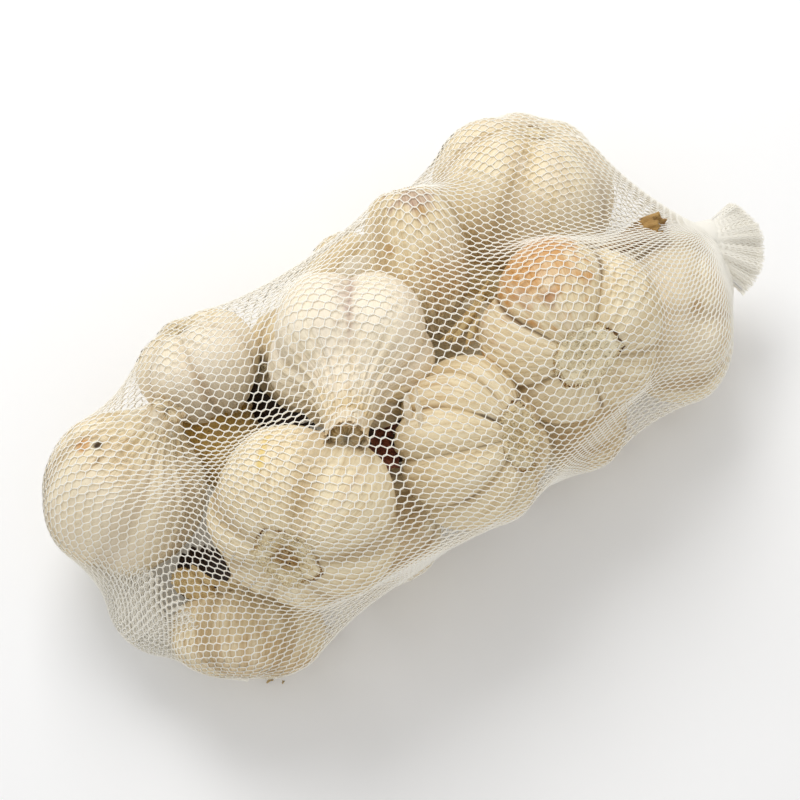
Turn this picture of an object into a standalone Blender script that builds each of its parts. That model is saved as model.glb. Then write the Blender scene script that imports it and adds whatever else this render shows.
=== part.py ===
"""Garlic bulbs packed in a knitted net tube, lying on its side.

One closed solid: the taut net skin, with every bulb standing a little proud of it. Frame: +X runs along
the pack to the gathered tail, +Z is up, and the origin is on the floor under the middle of the box.
"""

import math

import bmesh
import bpy
import numpy as np

MM = 0.001

# One line a bulb, in millimetres and degrees. Place is the bulb's middle. Girth is its largest radius.
# Root and shoulder are the distances from the middle to the root plate and to the start of the neck.
# Heading and lift aim the neck over the floor and above it, and roll turns the cloves about it.
BULB_FIELDS = (
    "place girth root shoulder neck_radius neck_tip heading lift roll cloves groove".split()
)
BULBS = {
    "upper_right": ((65.5, 31.0, 31.0), 30.5, 26.0, 24.0, 5.0, 34.0, -137, -45, 15, 7, 0.060),
    "front_right": ((46.0, -24.0, 67.0), 28.5, 20.0, 20.0, 5.0, 25.0, 97, -52, 40, 7, 0.075),
    "far_right": ((84.5, -32.0, 29.0), 28.0, 18.0, 18.0, 4.5, 23.0, 144, -8, 10, 6, 0.070),
    "small_top": ((18.5, 27.5, 59.0), 16.5, 23.0, 18.0, 3.5, 22.0, -111, -23, 0, 3, 0.025),
    "back_middle": ((5.0, 41.0, 19.5), 18.0, 15.0, 15.0, 4.5, 19.0, -154, -8, 0, 5, 0.060),
    "heart": ((-18.0, 10.5, 65.0), 26.5, 21.0, 18.0, 6.0, 31.0, -131, -5, 26, 6, 0.065),
    "front_middle": ((-3.0, -36.5, 60.5), 26.0, 20.0, 19.0, 4.5, 23.0, 132, -36, 0, 7, 0.070),
    "back_left": ((-56.5, 40.0, 42.0), 20.5, 15.0, 16.0, 4.5, 19.0, -92, -38, 0, 5, 0.080),
    "golden": ((-63.5, 17.0, 16.5), 16.0, 12.5, 12.5, 4.0, 15.0, 26, 3, 0, 5, 0.060),
    "far_left": ((-98.5, 21.5, 41.0), 24.5, 20.0, 21.0, 6.0, 30.0, 34, 22, 20, 6, 0.050),
    "front_left": ((-59.5, -26.0, 72.0), 30.0, 22.0, 20.0, 5.0, 24.0, 41, -45, 30, 7, 0.055),
    "low_left": ((-85.0, -31.0, 26.0), 25.0, 20.0, 20.0, 5.0, 23.0, 138, -8, 12, 6, 0.060),
    "under_heart": ((-31.5, 33.0, 19.0), 18.0, 14.0, 14.0, 4.0, 17.0, -7, -24, 0, 5, 0.060),
    "low_middle": ((-34.0, -33.0, 22.0), 20.5, 16.0, 16.0, 5.0, 19.0, -2, -4, 0, 6, 0.060),
    "low_right": ((38.0, -36.0, 22.5), 21.5, 16.5, 16.5, 5.0, 19.5, -10, -14, 0, 6, 0.060),
    "under_middle": ((17.5, 0.0, 20.5), 19.0, 14.0, 14.0, 5.0, 17.0, 160, -24, 0, 6, 0.050),
}
ROUNDNESS = 2.35
BULB_RINGS = 13
BULB_SIDES = 24

# The net skin is a tube of rings from the tied left end to the gathered right end and its tail.
SKIN_SIDES = 48
SKIN_RINGS = 46
SKIN_STEPS = 420
SKIN_INSET = 1.3
HOOP_PULL = 0.13
FLAT_BELOW = 3.2
UNDERSIDE = (4.0, 14.0)
START_MIDDLE = (-6.5, -5.0, 52.0)
START_HALF = (124.0, 74.0, 60.0)
LEFT_TIE = (-110.5, -11.0, 8.0)
LEFT_TIE_RADIUS = 4.0
RIGHT_TIE = (106.0, -18.0, 38.0)
RIGHT_TIE_RADIUS = 6.0
# Spare net folded over beyond the left bulbs keeps this much room.
POUCH_PLACE = (-103.5, -11.0, 21.0)
POUCH_RADIUS = 20.5

# The tail is a flat fan of pleated net, fuller on the side away from the camera.
TAIL_RINGS = 7
TAIL_LENGTHS = (14.5, 19.5)
TAIL_FAR_WIDTH = 12.5
TAIL_NEAR_WIDTH = 14.0
TAIL_HALF_THICK = 3.2
TAIL_HEADING = -58.0
TAIL_WIDE_HEADING = 32.0
TAIL_WIDE_LIFT = 12.0
TAIL_PLEATS = 9


def unit(vector):
    return np.asarray(vector, float) / np.linalg.norm(vector)


def aimed(heading, lift):
    """A unit vector this many degrees round from +X and this many above the floor."""
    turn = math.radians(heading)
    rise = math.radians(lift)
    return np.array([math.cos(rise) * math.cos(turn), math.cos(rise) * math.sin(turn), math.sin(rise)])


def smooth_step(low, high, value):
    t = np.clip((value - low) / (high - low), 0.0, 1.0)
    return t * t * (3.0 - 2.0 * t)


class Bulb:
    """A garlic bulb: a rounded body with clove lobes, a root plate set in its base, and a dry neck."""

    def __init__(self, name, values):
        self.name = name
        for field, value in zip(BULB_FIELDS, values):
            setattr(self, field, value)
        self.place = np.array(self.place)
        self.neck_way = aimed(self.heading, self.lift)
        self.side_way = unit(np.cross(self.neck_way, (0.0, 0.0, 1.0)))
        self.third_way = np.cross(self.neck_way, self.side_way)

    def radius(self, from_root, around):
        """Distance from the middle to the skin, by the angle from the root plate and the angle round it."""
        along = np.cos(from_root)
        across = np.sin(from_root)
        end = np.where(along > 0.0, self.root, self.shoulder)
        power = ROUNDNESS
        body = (np.abs(across / self.girth) ** power + np.abs(along / end) ** power) ** (-1.0 / power)
        dimple = 0.12 * np.exp(-((from_root / math.radians(17.0)) ** 2))
        turn = around + math.radians(self.roll)
        turn = turn + 0.16 * np.sin(turn + self.roll) + 0.10 * np.sin(2.0 * turn + self.girth)
        valley = (0.5 - 0.5 * np.cos(self.cloves * turn)) ** 3
        reach = smooth_step(0.15, 0.65, from_root) * (1.0 - smooth_step(2.0, 2.9, from_root))
        body = body * (1.0 - dimple - self.groove * valley * reach)
        neck = np.minimum(
            self.neck_radius / np.maximum(across, 1e-6),
            self.neck_tip / np.maximum(-along, 1e-6),
        )
        neck = np.where(along < 0.0, neck, 0.0)
        return (body**6 + neck**6) ** (1.0 / 6.0)

    def angles(self, offsets):
        """The distance, angle from the root and angle round of points given from the bulb's middle."""
        distance = np.maximum(np.linalg.norm(offsets, axis=-1), 1e-6)
        from_root = np.arccos(np.clip(-(offsets @ self.neck_way) / distance, -1.0, 1.0))
        around = np.arctan2(offsets @ self.third_way, offsets @ self.side_way)
        return distance, from_root, around

    def points(self, from_root, around):
        ways = (
            -np.cos(from_root)[..., None] * self.neck_way
            + (np.sin(from_root) * np.cos(around))[..., None] * self.side_way
            + (np.sin(from_root) * np.sin(around))[..., None] * self.third_way
        )
        return self.place + ways * self.radius(from_root, around)[..., None]


def ring_angles():
    """Ring positions from root to neck, closer together where the neck leaves the body."""
    even = np.linspace(0.0, 1.0, BULB_RINGS + 2)[1:-1]
    return math.pi * (even + 0.045 * np.sin(2.0 * math.pi * even) + 0.03 * even)


def mesh_object(name, points, faces, collection):
    mesh = bpy.data.meshes.new(name)
    mesh.from_pydata((np.asarray(points) * MM).tolist(), [], faces)
    mesh.validate()
    shape = bmesh.new()
    shape.from_mesh(mesh)
    bmesh.ops.recalc_face_normals(shape, faces=shape.faces)
    bmesh.ops.triangulate(shape, faces=shape.faces)
    shape.to_mesh(mesh)
    shape.free()
    thing = bpy.data.objects.new(name, mesh)
    collection.objects.link(thing)
    return thing


def tube_faces(rings, sides):
    """Faces of a closed tube whose first and last points close its ends."""
    faces = []
    last = rings * sides + 1
    for side in range(sides):
        after = (side + 1) % sides
        faces.append((0, 1 + after, 1 + side))
        top = 1 + (rings - 1) * sides
        faces.append((last, top + side, top + after))
    for ring in range(rings - 1):
        for side in range(sides):
            after = (side + 1) % sides
            low = 1 + ring * sides
            high = low + sides
            faces.append((low + side, low + after, high + after, high + side))
    return faces


def bulb_object(bulb, collection):
    angles = ring_angles()
    turns = np.linspace(0.0, 2.0 * math.pi, BULB_SIDES, endpoint=False)
    grid_root, grid_turn = np.meshgrid(angles, turns, indexing="ij")
    body = bulb.points(grid_root, grid_turn).reshape(-1, 3)
    root_end = bulb.points(np.array([0.0]), np.array([0.0]))
    neck_end = bulb.points(np.array([math.pi]), np.array([0.0]))
    points = np.concatenate([root_end, body, neck_end])
    return mesh_object(bulb.name, points, tube_faces(BULB_RINGS, BULB_SIDES), collection)


def start_rings():
    """A roomy tube round all the bulbs, with blunt ends drawn in to both ties."""
    share = np.linspace(0.0, math.pi, SKIN_RINGS)[:, None]
    turn = np.linspace(0.0, 2.0 * math.pi, SKIN_SIDES, endpoint=False)[None, :]
    along = np.sign(np.cos(share)) * np.abs(np.cos(share)) ** 0.8
    fullness = np.sin(share) ** 0.45
    points = np.zeros((SKIN_RINGS, SKIN_SIDES, 3))
    points[..., 0] = START_MIDDLE[0] - START_HALF[0] * along
    points[..., 1] = START_MIDDLE[1] + START_HALF[1] * fullness * np.cos(turn)
    points[..., 2] = START_MIDDLE[2] + START_HALF[2] * fullness * np.sin(turn)
    circle = np.stack([np.zeros(SKIN_SIDES), np.cos(turn[0]), np.sin(turn[0])], axis=-1)
    points[0] = np.array(LEFT_TIE) + LEFT_TIE_RADIUS * circle
    points[-1] = np.array(RIGHT_TIE) + RIGHT_TIE_RADIUS * circle
    return points


def drape(bulbs):
    """Pulls the tube taut over the bulbs, the folded pouch and the floor."""
    points = start_rings()
    pouch = np.array(POUCH_PLACE)
    for _ in range(SKIN_STEPS):
        inner = points[1:-1]
        hoop = 0.5 * (np.roll(inner, 1, axis=1) + np.roll(inner, -1, axis=1))
        length = 0.5 * (points[:-2] + points[2:])
        points[1:-1] = inner + 0.9 * (HOOP_PULL * hoop + (1.0 - HOOP_PULL) * length - inner)
        moved = points[1:-1]
        for bulb in bulbs:
            inset = SKIN_INSET * smooth_step(*UNDERSIDE, moved[..., 2])
            offsets = moved - bulb.place
            distance, from_root, around = bulb.angles(offsets)
            wanted = bulb.radius(from_root, around) - inset
            grow = np.maximum(wanted / distance, 1.0)
            moved = bulb.place + offsets * grow[..., None]
        offsets = moved - pouch
        distance = np.maximum(np.linalg.norm(offsets, axis=-1), 1e-6)
        moved = pouch + offsets * np.maximum(POUCH_RADIUS / distance, 1.0)[..., None]
        moved[..., 2] = np.maximum(moved[..., 2], 0.0)
        points[1:-1] = moved
    low = points[..., 2] < FLAT_BELOW
    points[..., 2] = np.where(low, 0.0, points[..., 2])
    return points


def tail_rings():
    """The fan beyond the right tie: it widens one way and thins the other, with pleats."""
    way = aimed(TAIL_HEADING, 0.0)
    wide = aimed(TAIL_WIDE_HEADING, TAIL_WIDE_LIFT)
    thin = unit(np.cross(way, wide))
    turn = np.linspace(0.0, 2.0 * math.pi, SKIN_SIDES, endpoint=False)
    across = np.cos(turn)
    near = np.where(across < 0.0, -across, 0.0)
    length = TAIL_LENGTHS[0] + (TAIL_LENGTHS[1] - TAIL_LENGTHS[0]) * near
    rings = []
    for number in range(1, TAIL_RINGS + 1):
        share = number / TAIL_RINGS
        far_width = RIGHT_TIE_RADIUS + (TAIL_FAR_WIDTH - RIGHT_TIE_RADIUS) * share**0.4
        near_width = RIGHT_TIE_RADIUS + (TAIL_NEAR_WIDTH - RIGHT_TIE_RADIUS) * share
        half_thick = RIGHT_TIE_RADIUS + (TAIL_HALF_THICK - RIGHT_TIE_RADIUS) * share**0.7
        wave = 1.3 * share * np.sin(TAIL_PLEATS * across)
        place = np.array(RIGHT_TIE) + (length * share)[:, None] * way
        place = place + (np.where(across > 0.0, far_width, near_width) * across)[:, None] * wide
        rings.append(place + (half_thick * np.sin(turn) + wave)[:, None] * thin)
    return np.array(rings)


def aligned_tail(tie_ring, rings):
    """Turns the tail's columns so that each starts opposite its own column of the tie."""
    best = min(
        ((np.roll(ring_set, shift, axis=1), shift, flip)
         for flip, ring_set in ((0, rings), (1, rings[:, ::-1]))
         for shift in range(SKIN_SIDES)),
        key=lambda option: float(np.sum((option[0][0] - tie_ring) ** 2)),
    )
    return best[0]


def skin_object(bulbs, collection):
    rings = drape(bulbs)
    rings = np.concatenate([rings, aligned_tail(rings[-1], tail_rings())])
    points = np.concatenate(
        [rings[0].mean(axis=0)[None], rings.reshape(-1, 3), rings[-1].mean(axis=0)[None]]
    )
    faces = tube_faces(len(rings), SKIN_SIDES)
    return mesh_object("garlic_net", points, faces, collection)


def joined(skin, pieces):
    """One Boolean union of the skin with the collection of bulbs, applied."""
    union = skin.modifiers.new("bulbs", "BOOLEAN")
    union.operation = "UNION"
    union.operand_type = "COLLECTION"
    union.collection = pieces
    union.solver = "MANIFOLD"
    graph = bpy.context.evaluated_depsgraph_get()
    whole = bpy.data.meshes.new_from_object(skin.evaluated_get(graph))
    skin.modifiers.clear()
    skin.data = whole
    for piece in list(pieces.objects):
        bpy.data.objects.remove(piece, do_unlink=True)
    bpy.data.collections.remove(pieces)


def garlic_material():
    material = bpy.data.materials.new("garlic_skin")
    material.use_nodes = True
    shader = material.node_tree.nodes["Principled BSDF"]
    shader.inputs["Base Color"].default_value = (0.74, 0.66, 0.52, 1.0)
    shader.inputs["Roughness"].default_value = 0.6
    return material


def centred(thing):
    """Moves the mesh so that the origin is on the floor under the middle of its box."""
    corners = np.array([vertex.co[:] for vertex in thing.data.vertices])
    low = corners.min(axis=0)
    high = corners.max(axis=0)
    shift = (-(low[0] + high[0]) / 2.0, -(low[1] + high[1]) / 2.0, -low[2])
    for vertex in thing.data.vertices:
        vertex.co.x += shift[0]
        vertex.co.y += shift[1]
        vertex.co.z += shift[2]
    print("shift mm", [round(value / MM, 3) for value in shift])
    print("size mm", [round(value / MM, 2) for value in high - low])


def main():
    for thing in list(bpy.data.objects):
        bpy.data.objects.remove(thing, do_unlink=True)
    scene = bpy.context.scene.collection
    pieces = bpy.data.collections.new("pieces")
    scene.children.link(pieces)
    bulbs = [Bulb(name, values) for name, values in BULBS.items()]
    for bulb in bulbs:
        bulb_object(bulb, pieces)
    skin = skin_object(bulbs, scene)
    joined(skin, pieces)
    centred(skin)
    skin.data.materials.clear()
    skin.data.materials.append(garlic_material())


if __name__ == "__main__":
    main()
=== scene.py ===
"""A white knitted net of garlic bulbs lying on its side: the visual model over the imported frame."""

import math

import bpy
import numpy as np
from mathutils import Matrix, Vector


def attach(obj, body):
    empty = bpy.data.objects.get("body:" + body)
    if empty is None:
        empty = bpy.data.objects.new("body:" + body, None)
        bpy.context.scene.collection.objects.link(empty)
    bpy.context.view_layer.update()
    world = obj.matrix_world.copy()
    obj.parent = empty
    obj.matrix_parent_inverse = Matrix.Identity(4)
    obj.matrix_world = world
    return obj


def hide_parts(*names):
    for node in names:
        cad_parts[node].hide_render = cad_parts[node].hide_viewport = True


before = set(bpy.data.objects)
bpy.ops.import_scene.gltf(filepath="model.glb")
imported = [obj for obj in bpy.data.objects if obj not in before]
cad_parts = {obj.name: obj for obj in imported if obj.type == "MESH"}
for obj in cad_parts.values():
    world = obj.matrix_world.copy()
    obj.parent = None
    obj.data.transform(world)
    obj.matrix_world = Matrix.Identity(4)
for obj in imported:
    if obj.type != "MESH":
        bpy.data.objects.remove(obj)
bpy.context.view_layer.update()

bl_info = {
    "name": "Garlic net",
    "version": (1, 0, 0),
    "blender": (4, 5, 0),
    "location": "View3D > Sidebar > Garlic net",
    "description": "Builds a knitted net of garlic bulbs with its stage and camera",
    "category": "Object",
}

MM = 0.001
NODE = "garlic_net"

# A bulb's values, in millimetres and degrees. Place is its middle. Girth is its largest radius. Root and
# shoulder are the distances from the middle to the root plate and to the start of the neck. Heading and lift
# aim the neck. Groove is the depth of a crease as a share of the radius, and a low crease power makes it sharp.
# Flare is how fast the neck widens into the body. Edges are the angles round the neck line where one clove
# meets the next, and swells how far each clove between them stands out.
BULB_FIELDS = (
    "place girth root shoulder neck_radius neck_tip heading lift groove crease flare edges swells".split()
)
BULBS = {
    "upper_right": ((65.5,31.0, 31.0), 30.5, 26.0, 24.0, 5.0, 34.0, -137, -45, 0.055, 1.3, 0.25,
                    (-165, -84, -22, 38, 96, 150), (0.03, 0.05, 0.02, 0.0, 0.01, 0.0)),
    "front_right": ((43.9,-23.7, 66.7), 29.0, 21.0, 21.0, 5.0, 26.0, 70, -50, 0.110, 0.7, 0.25,
                    (-144, -64, 18, 82, 156), (0.07, 0.03, 0.0, 0.02, 0.01)),
    "far_right": ((84.5, -32.0, 29.0), 28.0, 18.0, 18.0, 4.5, 23.0, 144, -8, 0.028, 1.4, 0.25,
                  (-160, -104, -45, 15, 75, 138), (0.02, 0.01, 0.03, 0.0, 0.02, 0.01)),
    "small_top": ((19.9,26.5, 59.0), 16.5, 23.0, 21.0, 3.5, 24.0, -111, -23, 0.030, 1.5, 0.25,
                  (-165, -40, 80), (0.0, 0.0, 0.0)),
    "back_middle": ((5.0,41.0, 19.5), 18.0, 15.0, 15.0, 4.5, 19.0, -154, -8, 0.060, 1.2, 0.25,
                    (-150, -80, -10, 62, 135), (0.0, 0.02, 0.0, 0.02, 0.0)),
    "heart": ((-17.0, 9.9, 65.0), 26.3, 21.5, 19.0, 4.7, 44.5, -125, 39.5, 0.100, 1.0, 0.25,
              (-165, -89, -12, 45, 98, 150), (0.06, 0.06, 0.01, 0.0, 0.02, 0.0)),
    "front_middle": ((-1.8,-34.7, 61.0), 27.0, 20.0, 19.0, 4.5, 23.0, 144, -40, 0.085, 0.8, 0.25,
                     (-152, -112, -76, -40, 10, 60, 120, 165), (0.0, 0.02, 0.0, 0.03, 0.0, 0.02, 0.0, 0.02)),
    "back_left": ((-56.5,40.0, 42.0), 20.5, 15.0, 16.0, 4.5, 19.0, -92, -38, 0.110, 1.0, 0.25,
                  (-148, -78, -18, 50, 122), (0.05, 0.03, 0.0, 0.0, 0.02)),
    "golden": ((-65.0,21.0, 22.0), 17.5, 14.0, 14.0, 4.0, 16.0, 26, 3, 0.060, 1.2, 0.25,
               (-135, -75, -10, 55, 120), (0.02, 0.0, 0.02, 0.0, 0.0)),
    "far_left": ((-98.2, 18.6, 41.0), 25.8, 25.0, 22.0, 4.6, 33.0, 20, 40, 0.035, 1.6, 0.40,
                 (-145, -62, -10, 55, 110, 165), (0.02, 0.03, 0.0, 0.02, 0.0, 0.0)),
    "front_left": ((-58.5,-26.7, 72.0), 29.3, 22.0, 20.0, 5.0, 24.0, 39, -40, 0.045, 1.5, 0.25,
                   (-172, -90, -14, 45, 100, 145), (0.02, 0.05, 0.03, 0.0, 0.0, 0.01)),
    "low_left": ((-90.2,-38.7, 26.0), 25.5, 15.0, 14.0, 4.5, 19.0, 56, 8, 0.050, 1.4, 0.30,
                 (-120, -55, 0, 60, 120, 175), (0.02, 0.02, 0.0, 0.02, 0.0, 0.0)),
    "under_heart": ((-26.4,27.1, 30.7), 18.5, 15.0, 15.0, 4.0, 18.0, -7, -24, 0.060, 1.2, 0.25,
                    (-150, -85, -15, 55, 130), (0.0, 0.02, 0.0, 0.02, 0.0)),
    "low_middle": ((-34.0,-33.0, 22.0), 20.5, 16.0, 16.0, 5.0, 19.0, -2, -4, 0.060, 1.2, 0.25,
                   (-155, -95, -35, 25, 85, 145), (0.0, 0.02, 0.0, 0.02, 0.0, 0.0)),
    "low_right": ((38.0,-36.0, 22.5), 21.5, 16.5, 16.5, 5.0, 19.5, -10, -14, 0.060, 1.2, 0.25,
                  (-150, -90, -30, 30, 90, 150), (0.0, 0.02, 0.0, 0.02, 0.0, 0.0)),
    "under_middle": ((24.3,1.2, 20.5), 19.0, 14.0, 14.0, 5.0, 17.0, 160, -24, 0.060, 1.2, 0.25,
                     (-150, -90, -30, 30, 90, 150), (0.0, 0.02, 0.0, 0.02, 0.0, 0.0)),
}
ROUNDNESS = 2.35
HALF_SEEN = ("back_middle", "golden", "under_heart", "low_middle", "low_right", "under_middle")

ORANGE = "#CB9048"
TAN = "#B98F55"
PURPLE = "#8C5560"
MAROON = "#74383A"
BROWN = "#5A3A1C"
# Painted shade for a hole and a crack in the skin.
PAINTED_OPENING_SHADE = "#2C1A0E"
OCHRE = "#B48A3C"
YELLOW = "#E6CC80"
GOLD = "#D0AC5C"
# Painted highlight: whiter cream laid over the upper sides of some bulbs.
PAINTED_HIGHLIGHT = "#FBF3E4"

# Stains, painted highlights and painted shade in openings: bulb, angle from the root, angle round, half size both ways
# in degrees, colour, strength.
STAINS_AND_PAINTED_LIGHT = [
    # The next five rows are painted highlight: whiter cream over the broad upper sides of these bulbs.
    ("heart", 90, -90, 120, 170, PAINTED_HIGHLIGHT, 0.62),
    ("back_left", 80, -90, 110, 150, PAINTED_HIGHLIGHT, 0.55),
    ("upper_right", 60, 120, 100, 180, PAINTED_HIGHLIGHT, 0.34),
    ("far_left", 90, -60, 80, 120, PAINTED_HIGHLIGHT, 0.34),
    ("far_right", 90, -100, 90, 120, PAINTED_HIGHLIGHT, 0.34),
    ("front_right", 92, -112, 50, 40, ORANGE, 0.80),
    ("front_right", 52, -113, 10, 7, MAROON, 0.34),
    ("front_right", 62, -127, 10, 6, PURPLE, 0.26),
    ("front_right", 66, -144, 34, 3, BROWN, 0.60),
    ("front_right", 80, 170, 24, 24, TAN, 0.25),
    ("small_top", 30, -105, 18, 44, PURPLE, 0.38),
    ("small_top", 44, -102, 7, 9, TAN, 0.70),
    ("small_top", 75, -55, 8, 7, TAN, 0.55),
    ("small_top", 118, -125, 40, 60, TAN, 0.50),
    ("heart", 105, -90, 52, 3.5, PURPLE, 0.34),
    ("heart", 84, -86, 24, 10, PURPLE, 0.16),
    ("heart", 174, -90, 8, 180, GOLD, 0.70),
    ("far_left", 125, -134, 8, 12, ORANGE, 0.95),
    # Painted shade inside the torn hole.
    ("far_left", 134, -124, 6, 9, PAINTED_OPENING_SHADE, 1.0),
    ("far_left", 140, -105, 22, 36, OCHRE, 0.30),
    ("front_left", 80, -122, 16, 3, YELLOW, 0.80),
    # Painted shade in a crack in the skin.
    ("front_middle", 38, -76, 18, 4, PAINTED_OPENING_SHADE, 0.80),
    ("front_middle", 24, 60, 24, 110, OCHRE, 0.45),
    ("front_middle", 90, -60, 30, 24, TAN, 0.22),
    ("far_right", 77, -98, 7, 6, TAN, 0.80),
    ("far_right", 84, -158, 22, 16, TAN, 0.40),
    ("upper_right", 6, 140, 7, 60, TAN, 0.60),
    ("upper_right", 112, -70, 26, 70, OCHRE, 0.32),
    ("back_left", 84, -78, 30, 8, TAN, 0.30),
    ("low_left", 60, -85, 40, 120, TAN, 0.25),
    ("golden", 80, -100, 120, 180, GOLD, 0.92),
    ("under_heart", 60, -60, 20, 16, ORANGE, 0.45),
    ("low_right", 80, -60, 60, 90, TAN, 0.35),
    ("low_middle", 80, -60, 60, 90, TAN, 0.30),
]
# Bulbs whose cloves have a dark line between them, with its strength.
DARK_EDGES = {"front_right": 0.75, "front_middle": 0.60, "back_left": 0.35}

# Root plates: half size as an angle, tone in the middle, tone outside it, and how many rootlets.
ROOT_PLATES = {
    "front_right": (27.0, 0.90, 0.98, 520),
    "front_left": (25.0, 0.38, 0.80, 420),
    "front_middle": (28.0, 0.66, 0.78, 520),
}
PLAIN_PLATE = (10.0, 0.86, 0.90, 70)

# The knitted net, in millimetres. Columns run round the pack and rows along it.
COLUMNS = 108
CELL_LENGTH = 2.6
STEM_SHARE = 0.36
THREAD_RADIUS = 0.17
STEM_SPREAD = 0.16
CLEARANCE = 0.30
HOOP_PULL = 0.13
COARSE_SIDES = 48
COARSE_RINGS = 46
COARSE_STEPS = 420
FINE_STEPS = 90
EVEN_ROUNDS = 4
EVEN_STEPS = 3
LATTICE_STEPS = 8
START_MIDDLE = (-6.5, -5.0, 52.0)
START_HALF = (124.0, 74.0, 60.0)
LEFT_TIE = (-110.5, -11.0, 8.0)
LEFT_TIE_RADIUS = 4.0
RIGHT_TIE = (106.0, -18.0, 38.0)
RIGHT_TIE_RADIUS = 6.6
# Spare net folded over beyond the left bulbs keeps this much room, with more layers inside it.
POUCH_PLACE = (-104.0, -13.0, 21.0)
POUCH_RADIUS = 20.5
POUCH_LAYERS = (0.93, 0.86)
POUCH_END = -89.5
POUCH_CORE = 0.76
POUCH_CORE_END = -97.0
CREASE = [(-117.7, 20.4, 30.0), (-116.8, 13.9, 28.0), (-113.0, 3.5, 26.0), (-109.5, -11.1, 22.0),
          (-106.9, -22.7, 20.0), (-104.0, -33.3, 18.0), (-100.1, -43.1, 16.0), (-96.8, -48.9, 14.0)]

# The tail opens beyond the right tie as a flat fan between two angles, longer at its lower edge.
TAIL_THREADS = 900
TAIL_STEPS = 16
TAIL_LENGTH = 16.8
TAIL_SKEW = 3.4
TAIL_ANGLES = (-58.0, 63.0)
TAIL_HALF_THICK = 2.4
TAIL_WAVE = 1.2
TAIL_PLEATS = 9
TAIL_HEADING = -34.3
TAIL_WIDE_HEADING = 55.7
TAIL_WIDE_LIFT = 15.0

# Loose things under the net, and dark sheets of painted shade in the deep gaps, as paths in millimetres with a width.
STRAWS = [
    ([(32.6, 5.5, 63.0), (22.5, 1.0, 61.0), (13.3, -1.3, 59.0), (9.6, -1.2, 58.0)], 2.4),
    ([(27.1, 1.1, 65.0), (17.0, -2.4, 63.0), (11.6, -4.8, 61.0)], 1.8),
    ([(28.8, 1.9, 62.0), (19.8, -2.1, 62.0), (10.3, -2.6, 59.0)], 1.3),
    ([(22.7, -3.0, 65.0), (17.4, -6.2, 65.0), (13.9, -9.1, 63.0)], 1.8),
    ([(23.8, 0.4, 62.0), (18.8, -8.1, 63.0), (20.3, -12.6, 61.0)], 1.5),
    ([(50.0, 10.0, 30.0), (37.5, 16.0, 32.0), (26.0, 22.0, 30.0)], 20.0),
    ([(-99.5, -12.0, 40.0), (-97.5, -18.0, 39.0), (-93.0, -24.5, 38.0)], 9.0),
    ([(-94.0, -14.0, 43.0), (-92.0, -21.0, 42.0), (-86.0, -27.0, 40.0)], 2.4),
]
RED_SKINS = [
    ([(-4.5, -1.0, 50.0), (-14.2, -4.9, 48.0), (-21.2, -9.4, 46.0)], 5.0),
    ([(-22.6, -12.4, 46.0), (-23.7, -21.6, 46.0), (-27.4, -17.9, 46.0)], 6.0),
    ([(-14.5, -9.0, 40.0), (-22.5, -14.0, 40.0), (-26.5, -22.0, 38.0)], 8.0),
]
# Painted shade: near-black sheets laid in the deep gaps between bulbs, where shade falls.
GAP_SHADE_SHEETS = [
    ([(-41.5, 32.0, 24.0), (-42.3, 20.0, 20.0), (-44.5, 5.0, 18.0)], 24.0),
    ([(0.5, 8.0, 22.0), (-15.5, -2.0, 18.0), (-27.5, -16.0, 16.0)], 26.0),
    ([(-99.5, -10.0, 16.0), (-79.5, -20.0, 16.0), (-61.5, -38.0, 16.0)], 24.0),
    ([(20.5, -12.0, 22.0), (24.6, -26.9, 18.0), (25.5, -44.0, 14.0)], 22.0),
]
PALE_SKINS = [
    ([(-12.5, -14.0, 79.0), (-15.6, -20.0, 80.0), (-19.0, -26.0, 77.0)], 2.6),
    ([(-9.7, -15.1, 84.0), (-12.6, -20.8, 85.0), (-15.6, -27.3, 83.0)], 1.8),
    ([(82.8, -8.4, 44.0), (80.0, -9.6, 45.0), (77.5, -10.6, 44.0)], 2.2),
    ([(12.3, 30.1, 47.0), (5.9, 38.1, 45.0), (-3.2, 37.9, 42.0)], 9.0),
]
STALK = [(73.5, -2.5, 39.0), (82.3, -4.8, 46.0), (87.5, -5.4, 49.0), (92.3, -7.8, 51.5)]
STALK_RADII = (2.8, 3.4, 3.7, 4.2)
# The far left bulb's dry neck lies bent over and pressed flat, with its cut end to the right.
BENT_NECK = [(-96.7, 31.1, 57.9), (-88.3, 29.6, 58.6), (-82.0, 27.5, 60.2), (-76.2, 25.8, 62.4)]
BENT_NECK_RADII = (4.0, 5.2, 5.6, 6.2)
BENT_NECK_FLATNESS = 0.33
BENT_NECK_ROOM = 5.0
# The net passes over the open end of the heart bulb's neck at this place, with this much room.
CUP_PLACE = (-36.7, -18.2, 93.3)
CUP_ROOM = 6.9
CRUMBS = [(-91.3, -51.8, 2.0), (-83.8, -53.6, 8.0), (-67.4, -50.8, 8.0), (-96.3, -46.7, 6.0)]

CAMERA_AIM = (-9.85, -6.99, 45.41)
CAMERA_AZIMUTH = -34.3
CAMERA_ELEVATION = 75.0
CAMERA_DISTANCE = 710.0
CAMERA_LENS = 100.0
KEY_POWER = 3.4
FILL_POWER = 0.2
SKY_STRENGTH = 0.64


def unit(vector):
    return np.asarray(vector, float) / np.linalg.norm(vector)


def aimed(heading, lift):
    """A unit vector this many degrees round from +X and this many above the floor."""
    turn = math.radians(heading)
    rise = math.radians(lift)
    return np.array([math.cos(rise) * math.cos(turn), math.cos(rise) * math.sin(turn), math.sin(rise)])


def smooth_step(low, high, value):
    t = np.clip((value - low) / (high - low), 0.0, 1.0)
    return t * t * (3.0 - 2.0 * t)


def linear_rgb(code):
    """Scene-linear colour from an sRGB hex code."""
    parts = [int(code[index:index + 2], 16) / 255.0 for index in (1, 3, 5)]
    return [part / 12.92 if part <= 0.04045 else ((part + 0.055) / 1.055) ** 2.4 for part in parts]


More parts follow.
